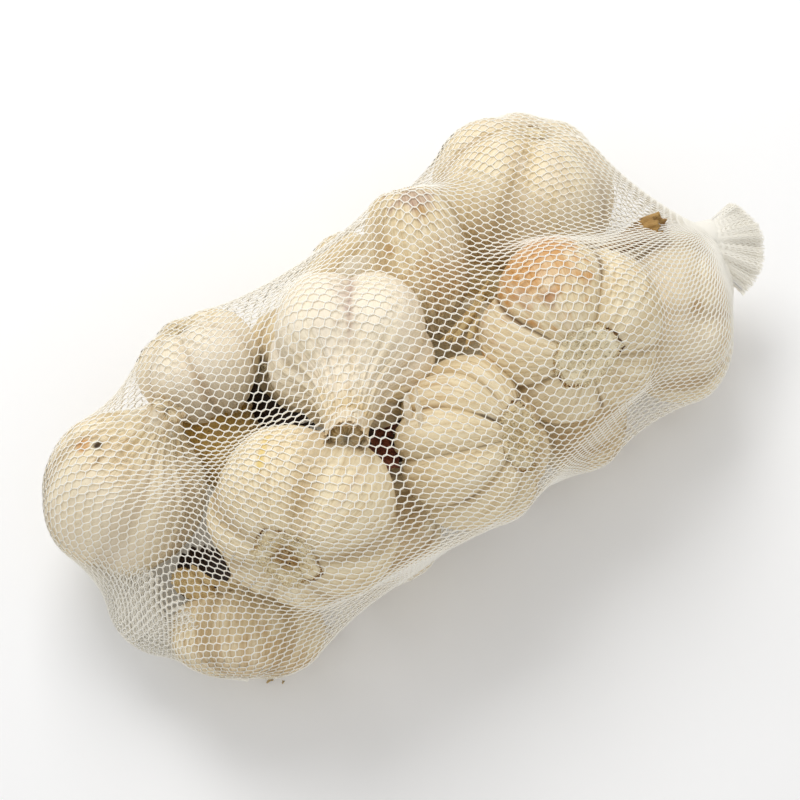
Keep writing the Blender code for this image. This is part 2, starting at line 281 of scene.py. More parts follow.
def rgba(code, alpha=1.0):
    return (*linear_rgb(code), alpha)


def waves(points, size, seed, layers=5):
    """Smooth random relief from -1 to 1 over points in millimetres, with hills of about the given size."""
    random = np.random.default_rng(seed)
    total = np.zeros(points.shape[:-1])
    for _ in range(layers * 3):
        way = unit(random.normal(size=3)) * (2.0 * math.pi / size) * random.uniform(0.6, 1.6)
        total = total + np.sin(points @ way + random.uniform(0.0, 6.28))
    return total / math.sqrt(layers * 4.5)


class Bulb:
    """A garlic bulb: a rounded body with clove lobes, a root plate set in its base, and a dry neck."""

    def __init__(self, name, values):
        self.name = name
        for field, value in zip(BULB_FIELDS, values):
            setattr(self, field, value)
        self.place = np.array(self.place)
        self.neck_way = aimed(self.heading, self.lift)
        self.side_way = unit(np.cross(self.neck_way, (0.0, 0.0, 1.0)))
        self.third_way = np.cross(self.neck_way, self.side_way)
        self.seed = sum(ord(letter) for letter in name)

    def clove_share(self, around):
        """Which clove a turn falls in, and where within it: 0 at one edge and 1 at the next."""
        edges = np.radians(self.edges)
        turn = np.mod(around - edges[0], 2.0 * math.pi)
        starts = edges - edges[0]
        ends = np.append(starts[1:], 2.0 * math.pi)
        index = np.clip(np.searchsorted(starts, turn, side="right") - 1, 0, len(edges) - 1)
        return index, (turn - starts[index]) / (ends[index] - starts[index])

    def valley(self, around):
        """How deep in a crease a turn is, from 0 on a clove's back to 1 at its edge."""
        share = self.clove_share(around)[1]
        return 1.0 - np.sin(math.pi * share) ** self.crease

    def radius(self, from_root, around):
        """Distance from the middle to the skin, by the angle from the root plate and the angle round it."""
        along = np.cos(from_root)
        across = np.sin(from_root)
        end = np.where(along > 0.0, self.root, self.shoulder)
        power = ROUNDNESS
        body = (np.abs(across / self.girth) ** power + np.abs(along / end) ** power) ** (-1.0 / power)
        dimple = 0.12 * np.exp(-((from_root / math.radians(17.0)) ** 2))
        clove, share = self.clove_share(around)
        swell = np.array(self.swells)[clove] * np.sin(math.pi * share)
        valley = 1.0 - np.sin(math.pi * share) ** self.crease
        reach = smooth_step(0.15, 0.65, from_root) * (1.0 - smooth_step(2.0, 2.9, from_root))
        body = body * (1.0 - dimple + (swell - self.groove * valley) * reach)
        down = np.maximum(-along, 0.0)
        cone = (self.neck_radius + self.flare * self.neck_tip) / (across + self.flare * down + 1e-6)
        neck = np.minimum(cone, self.neck_tip / np.maximum(down, 1e-6))
        neck = np.where(along < 0.0, neck, 0.0) * smooth_step(1.6, 2.1, from_root)
        return (body**6 + neck**6) ** (1.0 / 6.0)

    def angles(self, offsets):
        distance = np.maximum(np.linalg.norm(offsets, axis=-1), 1e-6)
        from_root = np.arccos(np.clip(-(offsets @ self.neck_way) / distance, -1.0, 1.0))
        around = np.arctan2(offsets @ self.third_way, offsets @ self.side_way)
        return distance, from_root, around

    def ways(self, from_root, around):
        return (
            -np.cos(from_root)[..., None] * self.neck_way
            + (np.sin(from_root) * np.cos(around))[..., None] * self.side_way
            + (np.sin(from_root) * np.sin(around))[..., None] * self.third_way
        )

    def points(self, from_root, around, raised=0.0):
        reach = self.radius(from_root, around) + raised
        return self.place + self.ways(from_root, around) * reach[..., None]


BULB_LIST = [Bulb(name, values) for name, values in BULBS.items()]
BULB_BY_NAME = {bulb.name: bulb for bulb in BULB_LIST}


def new_mesh_object(name, points, faces, smooth=True):
    """A mesh object at the origin from points in millimetres and faces that all have the same corner count."""
    faces = np.asarray(faces, np.int32)
    corners = faces.shape[1]
    mesh = bpy.data.meshes.new(name)
    mesh.vertices.add(len(points))
    mesh.vertices.foreach_set("co", (np.asarray(points, float) * MM).astype(np.float32).ravel())
    mesh.loops.add(faces.size)
    mesh.loops.foreach_set("vertex_index", faces.ravel())
    mesh.polygons.add(len(faces))
    mesh.polygons.foreach_set("loop_start", np.arange(0, faces.size, corners, dtype=np.int32))
    mesh.polygons.foreach_set("use_smooth", np.full(len(faces), smooth))
    mesh.update(calc_edges=True)
    mesh.validate()
    thing = bpy.data.objects.new(name, mesh)
    bpy.context.scene.collection.objects.link(thing)
    return thing


def add_colours(thing, name, values):
    layer = thing.data.color_attributes.new(name, "FLOAT_COLOR", "POINT")
    layer.data.foreach_set("color", np.asarray(values, np.float32).ravel())


def add_vectors(thing, name, values):
    layer = thing.data.attributes.new(name, "FLOAT_VECTOR", "POINT")
    layer.data.foreach_set("vector", np.asarray(values, np.float32).ravel())


def add_values(thing, name, values):
    layer = thing.data.attributes.new(name, "FLOAT", "POINT")
    layer.data.foreach_set("value", np.asarray(values, np.float32).ravel())


def belongs(thing, material):
    """The piece takes its material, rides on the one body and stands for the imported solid."""
    thing.data.materials.append(material)
    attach(thing, "root")
    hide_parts(NODE)


def grid_faces(rows, columns, closed):
    """Quads between rows of points, joined round if closed."""
    row = np.arange(rows - 1)[:, None] * columns
    column = np.arange(columns if closed else columns - 1)[None, :]
    after = (column + 1) % columns
    quads = np.stack([row + column, row + after, row + columns + after, row + columns + column], axis=-1)
    return quads.reshape(-1, 4)


def smooth_path(points, count):
    """Points along a curve through the given points."""
    points = np.asarray(points, float)
    ends = np.concatenate([2.0 * points[:1] - points[1:2], points, 2.0 * points[-1:] - points[-2:-1]])
    places = np.linspace(0.0, len(points) - 1.0, count)
    index = np.minimum(places.astype(int), len(points) - 2)
    t = (places - index)[:, None]
    before, first, second, after = (ends[index + step] for step in range(4))
    return 0.5 * (
        2.0 * first
        + (second - before) * t
        + (2.0 * before - 5.0 * first + 4.0 * second - after) * t**2
        + (3.0 * first - before - 3.0 * second + after) * t**3
    )


def set_or_link(tree, socket, value):
    if isinstance(value, bpy.types.NodeSocket):
        tree.links.new(value, socket)
    else:
        socket.default_value = value


def add_node(tree, kind, inputs=None, **settings):
    """A shader node with its settings, and its inputs set or linked by name."""
    node = tree.nodes.new(kind)
    for name, value in settings.items():
        setattr(node, name, value)
    for name, value in (inputs or {}).items():
        set_or_link(tree, node.inputs[name], value)
    return node


def mixed(tree, factor, first, second):
    """The colour output of a mix of two colours."""
    node = tree.nodes.new("ShaderNodeMix")
    node.data_type = "RGBA"
    for socket, value in ((node.inputs[0], factor), (node.inputs[6], first), (node.inputs[7], second)):
        set_or_link(tree, socket, value)
    return node.outputs[2]


def maths(tree, operation, *values):
    node = tree.nodes.new("ShaderNodeMath")
    node.operation = operation
    for socket, value in zip(node.inputs, values):
        set_or_link(tree, socket, value)
    return node.outputs[0]


def ramp(tree, factor, stops):
    node = tree.nodes.new("ShaderNodeValToRGB")
    tree.links.new(factor, node.inputs[0])
    elements = node.color_ramp.elements
    while len(elements) < len(stops):
        elements.new(1.0)
    for element, (position, colour) in zip(elements, stops):
        element.position = position
        element.color = colour
    return node.outputs[0]


def fade(tree, factor, low, high, amount):
    """A factor that rises from nothing at low to an amount at high."""
    node = add_node(tree, "ShaderNodeMapRange", {"Value": factor, "From Min": low, "From Max": high, "To Max": amount})
    return node.outputs[0]


def noise(tree, vector, scale, detail=3.0, roughness=0.6):
    values = {"Vector": vector, "Scale": scale, "Detail": detail, "Roughness": roughness}
    return add_node(tree, "ShaderNodeTexNoise", values).outputs["Fac"]


def stretched(tree, vector, scale):
    return add_node(tree, "ShaderNodeMapping", {"Vector": vector, "Scale": scale}).outputs[0]


def new_material(name):
    material = bpy.data.materials.new(name)
    material.use_nodes = True
    tree = material.node_tree
    return material, tree, tree.nodes["Principled BSDF"]


def add_glow(tree, shader, colour, share):
    """Lets part of the light through a thin sheet or thread."""
    glow = add_node(tree, "ShaderNodeBsdfTranslucent", {"Color": colour})
    blend = add_node(tree, "ShaderNodeMixShader")
    blend.inputs[0].default_value = share
    tree.links.new(shader.outputs[0], blend.inputs[1])
    tree.links.new(glow.outputs[0], blend.inputs[2])
    tree.links.new(blend.outputs[0], tree.nodes["Material Output"].inputs["Surface"])


def garlic_skin_material():
    """Dry outer skin of garlic: cream, with fine lengthwise veins, faint pink streaks and buff patches. Painted shade
    darkens the creases between cloves, and painted highlights and shade in openings come in with the stains.
    """
    material, tree, shader = new_material("garlic_papery_skin")
    grain = add_node(tree, "ShaderNodeAttribute", attribute_name="grain").outputs["Vector"]
    stain_and_painted_light = add_node(tree, "ShaderNodeAttribute", attribute_name="stain_and_painted_light")
    crease_shade_and_angles = add_node(tree, "ShaderNodeAttribute", attribute_name="crease_shade_and_angles").outputs["Vector"]
    place = add_node(tree, "ShaderNodeTexCoord").outputs["Object"]
    crease = add_node(tree, "ShaderNodeSeparateXYZ", {"Vector": crease_shade_and_angles}).outputs["X"]
    fine = noise(tree, stretched(tree, grain, (17.0, 17.0, 1.3)), 1.0, 4.0, 0.62)
    broad = noise(tree, stretched(tree, grain, (5.0, 5.0, 0.8)), 1.0, 3.0, 0.55)
    patch = noise(tree, place, 48.0, 4.0, 0.6)
    speck = noise(tree, place, 850.0, 3.0, 0.65)

    colour = mixed(tree, fade(tree, patch, 0.42, 0.72, 0.55), rgba("#F1E2C0"), rgba("#D8C091"))
    colour = mixed(tree, fade(tree, fine, 0.50, 0.64, 0.46), colour, rgba("#C4A673"))
    colour = mixed(tree, fade(tree, fine, 0.47, 0.34, 0.42), colour, rgba("#FCF5E3"))
    colour = mixed(tree, fade(tree, broad, 0.56, 0.76, 0.26), colour, rgba("#C9A58C"))
    # Painted shade: darker in the creases between cloves.
    colour = mixed(tree, maths(tree, "MULTIPLY", crease, 0.45), colour, rgba("#A5854F"))
    ragged = maths(tree, "MULTIPLY_ADD", maths(tree, "SUBTRACT", fine, 0.5), 1.0, stain_and_painted_light.outputs["Alpha"])
    ragged = maths(tree, "MULTIPLY_ADD", maths(tree, "SUBTRACT", patch, 0.5), 0.8, ragged)
    held = fade(tree, stain_and_painted_light.outputs["Alpha"], 0.02, 0.2, 1.0)
    stain_and_painted_light_mask = maths(tree, "MULTIPLY", maths(tree, "MAXIMUM", ragged, 0.0), held)
    # Stains, painted highlights and painted shade in openings, from the bulb's colour attribute.
    colour = mixed(tree, stain_and_painted_light_mask, colour, stain_and_painted_light.outputs["Color"])
    colour = mixed(tree, fade(tree, speck, 0.58, 0.70, 0.22), colour, rgba("#9A7B48"))

    height = maths(tree, "MULTIPLY_ADD", broad, 1.4, fine)
    height = maths(tree, "MULTIPLY_ADD", speck, 0.2, height)
    bump = add_node(tree, "ShaderNodeBump", {"Height": height, "Strength": 0.9, "Distance": 0.0006})
    tree.links.new(colour, shader.inputs["Base Color"])
    tree.links.new(bump.outputs[0], shader.inputs["Normal"])
    tree.links.new(maths(tree, "MULTIPLY_ADD", fine, 0.3, 0.40), shader.inputs["Roughness"])
    shader.inputs["Specular IOR Level"].default_value = 0.3
    return material


def net_material():
    """White knitted polyethylene thread. A faint emission stands for the light scattered inside it."""
    material, tree, shader = new_material("white_net_thread")
    white = rgba("#FFFCF3")
    shader.inputs["Base Color"].default_value = white
    shader.inputs["Roughness"].default_value = 0.45
    shader.inputs["Specular IOR Level"].default_value = 0.4
    shader.inputs["Emission Color"].default_value = rgba("#FFFBF2")
    shader.inputs["Emission Strength"].default_value = 0.07
    place = add_node(tree, "ShaderNodeTexCoord").outputs["Object"]
    fibre = noise(tree, place, 2600.0)
    bump = add_node(tree, "ShaderNodeBump", {"Height": fibre, "Strength": 0.3, "Distance": 0.0001})
    tree.links.new(bump.outputs[0], shader.inputs["Normal"])
    add_glow(tree, shader, white, 0.15)
    return material


def tail_material():
    """The gathered net of the tail: white threads pressed into a soft, cloudy sheet, with a faint painted glow."""
    material, tree, shader = new_material("white_gathered_net_painted_glow")
    grain = add_node(tree, "ShaderNodeAttribute", attribute_name="grain").outputs["Vector"]
    lines = noise(tree, stretched(tree, grain, (90.0, 1.2, 1.0)), 1.0, 4.0, 0.7)
    colour = mixed(tree, fade(tree, lines, 0.35, 0.65, 1.0), rgba("#E6E4E0"), rgba("#FBFAF7"))
    tree.links.new(colour, shader.inputs["Base Color"])
    # Painted glow: a faint emission lifts the sheet's brightness.
    tree.links.new(colour, shader.inputs["Emission Color"])
    shader.inputs["Emission Strength"].default_value = 0.09
    bump = add_node(tree, "ShaderNodeBump", {"Height": lines, "Strength": 0.6, "Distance": 0.0005})
    tree.links.new(bump.outputs[0], shader.inputs["Normal"])
    shader.inputs["Roughness"].default_value = 0.6
    add_glow(tree, shader, colour, 0.35)
    return material


def root_material():
    """Dry root plate and rootlets: grey-beige and dusty, browner where the tone is low."""
    material, tree, shader = new_material("dry_garlic_roots")
    place = add_node(tree, "ShaderNodeTexCoord").outputs["Object"]
    tone = add_node(tree, "ShaderNodeAttribute", attribute_name="tone").outputs["Fac"]
    grit = noise(tree, place, 700.0, 4.0, 0.7)
    value = maths(tree, "MULTIPLY_ADD", maths(tree, "SUBTRACT", grit, 0.5), 0.55, tone)
    stops = [(0.05, rgba("#5A391C")), (0.32, rgba("#B08A52")), (0.62, rgba("#DDC99C")), (0.95, rgba("#F8EDCF"))]
    tree.links.new(ramp(tree, value, stops), shader.inputs["Base Color"])
    bump = add_node(tree, "ShaderNodeBump", {"Height": grit, "Strength": 0.6, "Distance": 0.0005})
    tree.links.new(bump.outputs[0], shader.inputs["Normal"])
    shader.inputs["Roughness"].default_value = 0.85
    return material


def husk_material(name, light, dark, see_through=0.3):
    """Loose dry husk: thin, papery and streaked along its length."""
    material, tree, shader = new_material(name)
    grain = add_node(tree, "ShaderNodeAttribute", attribute_name="grain").outputs["Vector"]
    place = add_node(tree, "ShaderNodeTexCoord").outputs["Object"]
    lines = noise(tree, stretched(tree, grain, (14.0, 1.2, 1.0)), 1.0, 4.0, 0.65)
    patch = noise(tree, place, 160.0, 3.0, 0.6)
    value = maths(tree, "MULTIPLY_ADD", maths(tree, "SUBTRACT", patch, 0.5), 0.6, lines)
    colour = ramp(tree, value, [(0.30, rgba(dark)), (0.62, rgba(light))])
    tree.links.new(colour, shader.inputs["Base Color"])
    bump = add_node(tree, "ShaderNodeBump", {"Height": lines, "Strength": 0.7, "Distance": 0.0004})
    tree.links.new(bump.outputs[0], shader.inputs["Normal"])
    shader.inputs["Roughness"].default_value = 0.6
    add_glow(tree, shader, colour, see_through)
    return material


def stain_and_painted_light_colours(bulb, from_root, around, points):
    """Colour and strength of the stains, the painted highlights and the painted shade in openings at each point."""
    colour = np.ones(from_root.shape + (3,)) * np.array(linear_rgb("#DCC79C"))
    strength = np.zeros(from_root.shape)
    edge = 1.0 + 0.35 * waves(points, 7.0, bulb.seed)
    layers = []
    for name, root_angle, turn, half_root, half_turn, code, amount in STAINS_AND_PAINTED_LIGHT:
        if name == bulb.name:
            along = (np.degrees(from_root) - root_angle) / half_root
            across = ((np.degrees(around) - turn + 180.0) % 360.0 - 180.0) / half_turn
            reach = np.sqrt(along**2 + across**2) * edge
            layers.append((code, amount * (1.0 - smooth_step(0.35, 1.15, reach))))
    if bulb.name in DARK_EDGES:
        share = bulb.clove_share(around)[1]
        near = np.exp(-((np.minimum(share, 1.0 - share) / 0.022) ** 2))
        span = smooth_step(0.4, 0.8, from_root) * (1.0 - smooth_step(1.7, 2.3, from_root))
        patchy = smooth_step(-0.6, 0.5, waves(points, 22.0, bulb.seed + 9))
        layers.append((BROWN, DARK_EDGES[bulb.name] * near * span * patchy))
    for code, weight in layers:
        share = weight / np.maximum(weight + strength * (1.0 - weight), 1e-6)
        colour = colour + (np.array(linear_rgb(code)) - colour) * share[..., None]
        strength = np.maximum(strength, weight)
    return np.concatenate([colour, strength[..., None]], axis=-1)


def bulb_relief(bulb, from_root, around, points):
    """Ridges along the veins, pleats at the neck, and soft dents, in millimetres."""
    random = np.random.default_rng(bulb.seed)
    ridges = np.zeros(from_root.shape)
    for count in (17, 26, 37, 53, 71):
        phase = random.uniform(0.0, 6.28)
        drift = random.uniform(-0.8, 0.8)
        ridges = ridges + np.sin(count * around + drift * from_root * 3.0 + phase) * (20.0 / count) ** 0.5
    to_neck = smooth_step(1.75, 2.7, from_root)
    near_root = 1.0 - smooth_step(0.3, 0.7, from_root)
    relief = ridges * (0.045 + 0.30 * to_neck + 0.06 * near_root) - 0.12
    relief = relief + 0.16 * waves(points, 20.0, bulb.seed + 3)
    return relief + 0.05 * waves(points, 7.0, bulb.seed + 5)


def clove_turns(bulb, sides):
    """Angles round a bulb, with one on every edge between two cloves."""
    edges = np.radians(bulb.edges)
    turns = []
    for low, high in zip(edges, np.append(edges[1:], edges[0] + 2.0 * math.pi)):
        count = max(4, round(sides * (high - low) / (2.0 * math.pi)))
        turns.append(np.linspace(low, high, count, endpoint=False))
    return np.concatenate(turns)


def build_bulb(bulb, material):
    """One bulb as a closed mesh with its grain, its stains and painted light, and its crease depth for the painted
    crease shade.
    """
    fine = bulb.name not in HALF_SEEN
    even = np.linspace(0.0, 1.0, (132 if fine else 72) + 2)[1:-1]
    root_angles = math.pi * (even + 0.04 * np.sin(2.0 * math.pi * even))
    turns = clove_turns(bulb, 216 if fine else 108)
    rings = len(root_angles)
    sides = len(turns)
    from_root, around = np.meshgrid(root_angles, turns, indexing="ij")
    base = bulb.points(from_root, around)
    points = bulb.points(from_root, around, bulb_relief(bulb, from_root, around, base))
    caps = bulb.points(np.array([0.0, math.pi]), np.array([0.0, 0.0]))
    every = np.concatenate([points.reshape(-1, 3), caps])
    column = np.arange(sides)
    after = (column + 1) % sides
    top = (rings - 1) * sides
    first = np.stack([np.full(sides, rings * sides), after, column], axis=-1)
    last = np.stack([np.full(sides, rings * sides + 1), top + column, top + after], axis=-1)
    quads = grid_faces(rings, sides, True)
    triangles = np.concatenate([quads[:, [0, 1, 2]], quads[:, [0, 2, 3]], first, last])
    thing = new_mesh_object("bulb_" + bulb.name, every, triangles)
    roots = np.concatenate([from_root.ravel(), [0.0, math.pi]])
    turn = np.concatenate([around.ravel(), [0.0, 0.0]])
    grain = np.stack([np.cos(turn) + 0.37 * bulb.seed, np.sin(turn), roots + bulb.seed], axis=-1)
    add_vectors(thing, "grain", grain)
    add_colours(thing, "stain_and_painted_light", stain_and_painted_light_colours(bulb, roots, turn, every))
    # Crease depth, which the skin material darkens as painted shade.
    crease = smooth_step(0.55, 1.0, bulb.valley(turn)) * smooth_step(0.3, 0.8, roots)
    crease = crease * (1.0 - smooth_step(2.1, 2.7, roots))
    add_vectors(thing, "crease_shade_and_angles", np.stack([crease, roots, turn], axis=-1))
    belongs(thing, material)


def joined_meshes(pieces):
    """Points, faces and values of several quad meshes as one."""
    points = []
    faces = []
    values = []
    start = 0
    for one_points, one_faces, one_values in pieces:
        points.append(one_points)
        faces.append(one_faces + start)
        values.append(one_values)
        start += len(one_points)
    return np.concatenate(points), np.concatenate(faces), np.concatenate(values)


def root_plate(bulb, random):
    """The rough plate, its rootlets and the ragged rim of skin round it."""
    half, inner_tone, outer_tone, number = ROOT_PLATES.get(bulb.name, PLAIN_PLATE)
    half = math.radians(half)
    turns = np.linspace(-math.pi, math.pi, 96, endpoint=False)
    outline = 1.0 + 0.07 * np.sin(2.0 * turns + bulb.seed) + 0.05 * np.sin(5.0 * turns + 1.0)
    outline = outline + 0.03 * np.sin(13.0 * turns + bulb.seed)
    share = np.linspace(0.02, 1.0, 30)
    from_root = half * share[:, None] * outline[None, :]
    around = np.broadcast_to(turns, from_root.shape)
    flat = bulb.points(from_root, around)
    rough = 0.25 + 0.22 * waves(flat, 2.2, bulb.seed + 1) + 0.16 * waves(flat, 1.1, bulb.seed + 2)
    rough = rough - 0.9 * smooth_step(0.86, 1.0, share)[:, None]
    tone = inner_tone + (outer_tone - inner_tone) * smooth_step(0.3, 0.62, share)[:, None]
    tone = tone + 0.10 * waves(flat, 5.0, bulb.seed + 4)
    plate = (bulb.points(from_root, around, rough).reshape(-1, 3), grid_faces(30, 96, True), tone.ravel())

    root_share = np.sqrt(random.uniform(0.02, 0.95, number))
    stub_turn = random.uniform(-math.pi, math.pi, number)
    stub_root = half * root_share * np.interp(stub_turn, turns, outline)
    base = bulb.points(stub_root, stub_turn, np.full(number, 0.1))
    way = bulb.ways(stub_root, stub_turn) + random.normal(0.0, 0.55, (number, 3))
    way = way / np.linalg.norm(way, axis=-1, keepdims=True)
    length = random.uniform(0.4, 1.3, number)
    steps = np.array([0.0, 0.55, 1.0])
    paths = base[:, None] + way[:, None] * (length[:, None] * steps)[..., None]
    paths[:, 1] = paths[:, 1] + random.normal(0.0, 0.12, (number, 3))
    radii = random.uniform(0.14, 0.30, number)[:, None] * np.array([1.0, 0.8, 0.35])
    stub_points, stub_faces = tubes(paths, radii)
    stub_tone = np.interp(root_share, (0.35, 0.6), (inner_tone, outer_tone)) + random.normal(0.0, 0.13, number)
    stubs = (stub_points, stub_faces, np.repeat(stub_tone, 12))

    columns = 260
    rim_turns = np.linspace(-math.pi, math.pi, columns, endpoint=False)
    rim_outline = half * np.interp(rim_turns, turns, outline, period=2.0 * math.pi)
    height = random.uniform(0.05, 1.0, columns) ** 2.4 * 0.9 + 0.05
    height = height * (0.55 + 0.45 * np.sin(2.0 * rim_turns + bulb.seed))
    height = np.maximum(height, 0.03)
    rows = []
    for level, lean in ((-0.3, 0.97), (0.15, 1.0), (1.0, 1.03)):
        jitter = random.normal(0.0, 0.012, columns) * (level + 0.3)
        rows.append(bulb.points(rim_outline * (lean + jitter), rim_turns, height * level))
    arc = np.sin(2.0 * rim_turns + bulb.seed) + 0.6 * np.sin(3.0 * rim_turns + 2.0)
    rim_tone = np.clip(0.62 - 0.32 * arc, 0.18, 0.85) + random.normal(0.0, 0.14, columns)
    rim_tone = np.stack([rim_tone, rim_tone - 0.10, rim_tone - 0.18])
    rim = (np.stack(rows).reshape(-1, 3), grid_faces(3, columns, True), rim_tone.ravel())
    return joined_meshes([plate, stubs, rim])


def build_roots(bulb, material):
    random = np.random.default_rng(bulb.seed + 50)
    points, faces, tone = root_plate(bulb, random)
    thing = new_mesh_object("roots_" + bulb.name, points, faces)
    add_values(thing, "tone", tone)
    belongs(thing, material)


def build_neck(bulb, material):
    """Cut papery neck: a few loose sleeves that stand up round its tip, with ragged ends."""
    random = np.random.default_rng(bulb.seed + 80)
    pieces = []
    for layer in range(4 if bulb.name == "heart" else 2):
        columns = 84
        turns = np.linspace(0.0, 2.0 * math.pi, columns, endpoint=False)
        share = np.linspace(0.0, 1.0, 12)[:, None]
        over = 0.5 + 0.4 * layer + 0.8 * np.sin(3.0 * turns + random.uniform(0.0, 6.28))
        over = over + random.uniform(-0.6, 0.6, columns)
        along = bulb.neck_tip - 7.0 + share * (7.0 + over)
        cone = bulb.neck_radius + bulb.flare * np.maximum(bulb.neck_tip - along, 0.0)
        pleat = np.sin((7 + 2 * layer) * turns + random.uniform(0.0, 6.28))
        reach = cone + 0.30 + 0.1 * layer + (0.3 + 0.35 * layer) * share**2 + 0.4 * share * pleat
        reach = reach - 0.7 * (1.0 - smooth_step(0.0, 0.2, share))
        ways = np.cos(turns)[:, None] * bulb.side_way + np.sin(turns)[:, None] * bulb.third_way
        points = bulb.place + along[..., None] * bulb.neck_way + reach[..., None] * ways
        grain = np.stack(np.broadcast_arrays(turns[None, :] + 3.0 * layer, share, 0.0), axis=-1)
        pieces.append((points.reshape(-1, 3), grid_faces(12, columns, True), grain.reshape(-1, 3)))
    points, faces, grain = joined_meshes(pieces)
    thing = new_mesh_object("neck_" + bulb.name, points, faces)
    add_vectors(thing, "grain", grain)
    belongs(thing, material)


def push_out(points, gap):
    """Moves points that are inside a bulb, the bent neck, the pouch or the floor out to its surface."""
    moved = points
    for bulb in BULB_LIST:
        offsets = moved - bulb.place
        reach = max(bulb.girth, bulb.neck_tip) + 5.0
        near = np.einsum("...i,...i->...", offsets, offsets) < reach * reach
        if not near.any():
            continue
        close = offsets[near]
        distance, from_root, around = bulb.angles(close)
        wanted = bulb.radius(from_root, around) + gap
        grow = np.maximum(wanted / distance, 1.0)
        moved[near] = bulb.place + close * grow[:, None]
    rooms = [(POUCH_PLACE, POUCH_RADIUS), (CUP_PLACE, CUP_ROOM)]
    for place, radius in rooms + [(place, BENT_NECK_ROOM) for place in BENT_NECK]:
        offsets = moved - np.array(place)
        distance = np.maximum(np.linalg.norm(offsets, axis=-1), 1e-6)
        moved = np.array(place) + offsets * np.maximum(radius / distance, 1.0)[..., None]
    moved[..., 2] = np.maximum(moved[..., 2], gap)
    return moved


def start_rings():
    """A roomy tube round all the bulbs, with blunt ends drawn in to both ties."""
    share = np.linspace(0.0, math.pi, COARSE_RINGS)[:, None]
    turn = np.linspace(0.0, 2.0 * math.pi, COARSE_SIDES, endpoint=False)[None, :]
    along = np.sign(np.cos(share)) * np.abs(np.cos(share)) ** 0.8
    fullness = np.sin(share) ** 0.45
    points = np.zeros((COARSE_RINGS, COARSE_SIDES, 3))
    points[..., 0] = START_MIDDLE[0] - START_HALF[0] * along
    points[..., 1] = START_MIDDLE[1] + START_HALF[1] * fullness * np.cos(turn)
    points[..., 2] = START_MIDDLE[2] + START_HALF[2] * fullness * np.sin(turn)
    circle = np.stack([np.zeros(COARSE_SIDES), np.cos(turn[0]), np.sin(turn[0])], axis=-1)
    points[0] = np.array(LEFT_TIE) + LEFT_TIE_RADIUS * circle
    points[-1] = np.array(RIGHT_TIE) + RIGHT_TIE_RADIUS * circle
    return points


def relaxed(points, steps, gap):
    """Draws a tube grid tight over the bulbs, more along its length than round it."""
    for _ in range(steps):
        inner = points[1:-1]
        hoop = 0.5 * (np.roll(inner, 1, axis=1) + np.roll(inner, -1, axis=1))
        length = 0.5 * (points[:-2] + points[2:])
        pulled = inner + 0.9 * (HOOP_PULL * hoop + (1.0 - HOOP_PULL) * length - inner)
        points[1:-1] = push_out(pulled, gap)
    return points


def sampled(grid, rows, turns):
    """Points of a tube grid at fractional rows and turns, by straight interpolation."""
    count, sides = grid.shape[:2]
    rows = np.clip(rows, 0.0, count - 1.001)
    low = np.floor(rows).astype(int)
    part = (rows - low)[..., None]
    turn = np.mod(turns, 1.0) * sides
    left = np.floor(turn).astype(int) % sides
    side = (turn - np.floor(turn))[..., None]
    right = (left + 1) % sides
    near = grid[low, left] * (1.0 - side) + grid[low, right] * side
    far = grid[low + 1, left] * (1.0 - side) + grid[low + 1, right] * side
    return near * (1.0 - part) + far * part


def spaced_evenly(line, count, closed):
    """Points at equal steps along a line of points, or round it if closed."""
    whole = np.concatenate([line, line[:1]]) if closed else line
    length = np.concatenate([[0.0], np.cumsum(np.linalg.norm(np.diff(whole, axis=0), axis=-1))])
    wanted = np.linspace(0.0, length[-1], count, endpoint=not closed)
    return np.stack([np.interp(wanted, length, whole[:, axis]) for axis in range(3)], axis=-1)


def evened(points):
    """Spreads a tube grid evenly along its lines and then round its rings, as knitted cells are."""
    rows, sides = points.shape[:2]
    lines = np.stack([spaced_evenly(points[:, side], rows, False) for side in range(sides)], axis=1)
    return np.stack([spaced_evenly(lines[row], sides, True) for row in range(rows)], axis=0)


def draped_tube():
    """The taut tube: relaxed coarse, then refined, then evened out."""
    coarse = relaxed(start_rings(), COARSE_STEPS, CLEARANCE)
    rows = np.linspace(0.0, COARSE_RINGS - 1.0, 2 * COARSE_RINGS)[:, None]
    turns = (np.arange(2 * COARSE_SIDES) / (2.0 * COARSE_SIDES))[None, :]
    fine = relaxed(sampled(coarse, *np.broadcast_arrays(rows, turns)), FINE_STEPS, CLEARANCE)
    for _ in range(EVEN_ROUNDS):
        fine = relaxed(evened(fine), EVEN_STEPS, CLEARANCE)
    return fine


def lattice(tube):
    """Net nodes as rows of stem starts and stem ends; odd rows stand half a column over."""
    steps = np.linalg.norm(np.diff(tube, axis=0), axis=-1).mean(axis=1)
    length = np.concatenate([[0.0], np.cumsum(steps)])
    count = int(length[-1] / CELL_LENGTH)
    count = count - count % 2
    shift = (np.arange(count) % 2)[:, None] * 0.5
    turns = (np.arange(COLUMNS)[None, :] + shift) / COLUMNS
    place = length[-1] * (np.arange(count)[:, None] + np.array([0.0, STEM_SHARE])) / count
    rows = np.interp(place, length, np.arange(len(length)))
    rows = np.broadcast_to(rows.reshape(count, 1, 2), (count, COLUMNS, 2))
    nodes = sampled(tube, rows, np.broadcast_to(turns[..., None], rows.shape))
    for _ in range(LATTICE_STEPS):
        nodes = lattice_step(nodes)
    return nodes


